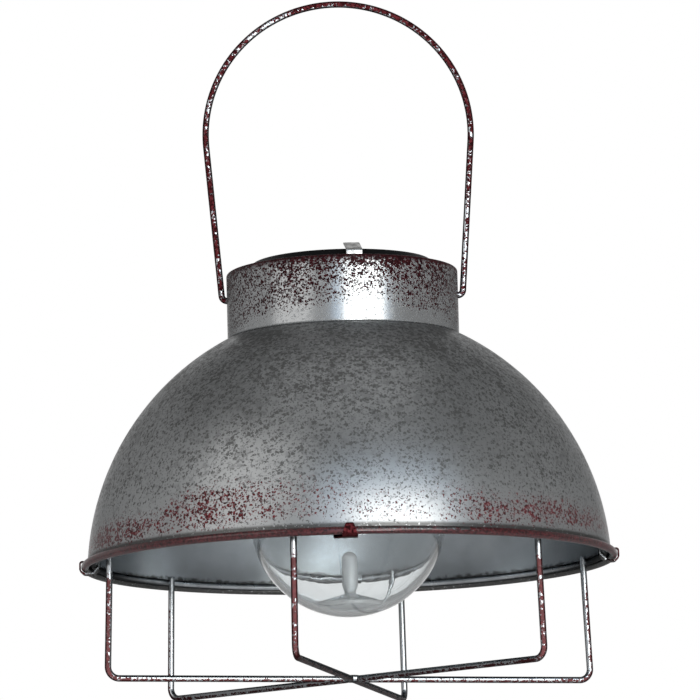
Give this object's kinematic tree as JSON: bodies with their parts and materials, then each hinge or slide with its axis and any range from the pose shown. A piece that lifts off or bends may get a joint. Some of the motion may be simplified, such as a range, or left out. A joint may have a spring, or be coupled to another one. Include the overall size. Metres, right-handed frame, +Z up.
{
  "type": "hanging lantern",
  "caption": "Domed metal lantern with a wire guard, a clear globe bulb, a drop-in solar lamp unit in its collar and a swinging wire bail.",
  "frame": {"origin": "centre of the guard's base, on the plane it stands on", "axes": "+Z up through the bail; +X along the bail's hinge; -Y is the front"},
  "size_m": [0.2318, 0.2318, 0.2977],
  "materials": {
    "galvanised_shade": "satin zinc grey with darker mottling and a red-brown speckled band above the rim",
    "galvanised_collar": "satin zinc grey, densely speckled red-brown towards the top edge",
    "rust_speckled_wire": "red-brown speckle over bright wire",
    "bright_wire": "bright drawn wire",
    "rust_painted_strip": "red-brown speckle over thin strip",
    "bare_strip": "bare bright strip",
    "black_plastic": "fine moulded black",
    "foam": "closed-cell foam",
    "solar_cell": "dark blue cell under clear resin",
    "screw_steel": "zinc plated",
    "white_plastic": "plain moulded white",
    "clear_plastic": "clear glossy plastic",
    "frosted_plastic": "frosted",
    "battery_sleeve": "plain shrink sleeve",
    "circuit_board": "solder resist",
    "contact_brass": "plated"
  },
  "bodies": {
    "lantern": {"battery": "battery_sleeve", "battery_contact": "contact_brass", "battery_door": "black_plastic", "battery_spring": "bright_wire", "bulb": "clear_plastic", "circuit_board": "circuit_board", "collar": "galvanised_collar", "diffuser_pin": "frosted_plastic", "dome_shade": "galvanised_shade", "door_screw": "screw_steel", "guard_hub": "bright_wire", "guard_leg_1": "rust_speckled_wire", "guard_leg_2": "rust_speckled_wire", "guard_leg_3": "rust_speckled_wire", "guard_leg_4": "rust_speckled_wire", "guard_leg_5": "rust_speckled_wire", "guard_leg_6": "rust_speckled_wire", "guard_ring": "bright_wire", "lamp_socket": "black_plastic", "led": "clear_plastic", "led_holder": "white_plastic", "retaining_tab_1": "bare_strip", "retaining_tab_2": "bare_strip", "retaining_tab_3": "bare_strip", "rim_clip_1": "rust_painted_strip", "rim_clip_2": "rust_painted_strip", "rim_clip_3": "rust_painted_strip", "rim_clip_4": "rust_painted_strip", "seat_gasket": "foam", "socket_screw_1": "screw_steel", "socket_screw_2": "screw_steel", "solar_lid": "black_plastic", "solar_panel": "solar_cell", "switch_body": "black_plastic", "unit_housing": "black_plastic", "unit_screw_1": "screw_steel", "unit_screw_2": "screw_steel", "unit_screw_3": "screw_steel", "unit_screw_4": "screw_steel"},
    "bail": {"bail": "rust_speckled_wire"},
    "switch_knob": {"switch_knob": "white_plastic"}
  },
  "joints": [
    {"name": "bail_hinge", "type": "hinge", "parent": "lantern", "child": "bail", "pos_m": [0, 0, 0.16666], "axis": [1, 0, 0], "range_deg": [-122, 122]},
    {"name": "switch_slide", "type": "slide", "parent": "lantern", "child": "switch_knob", "axis": [1, 0, 0], "range_m": [0, 0.003]}
  ]
}
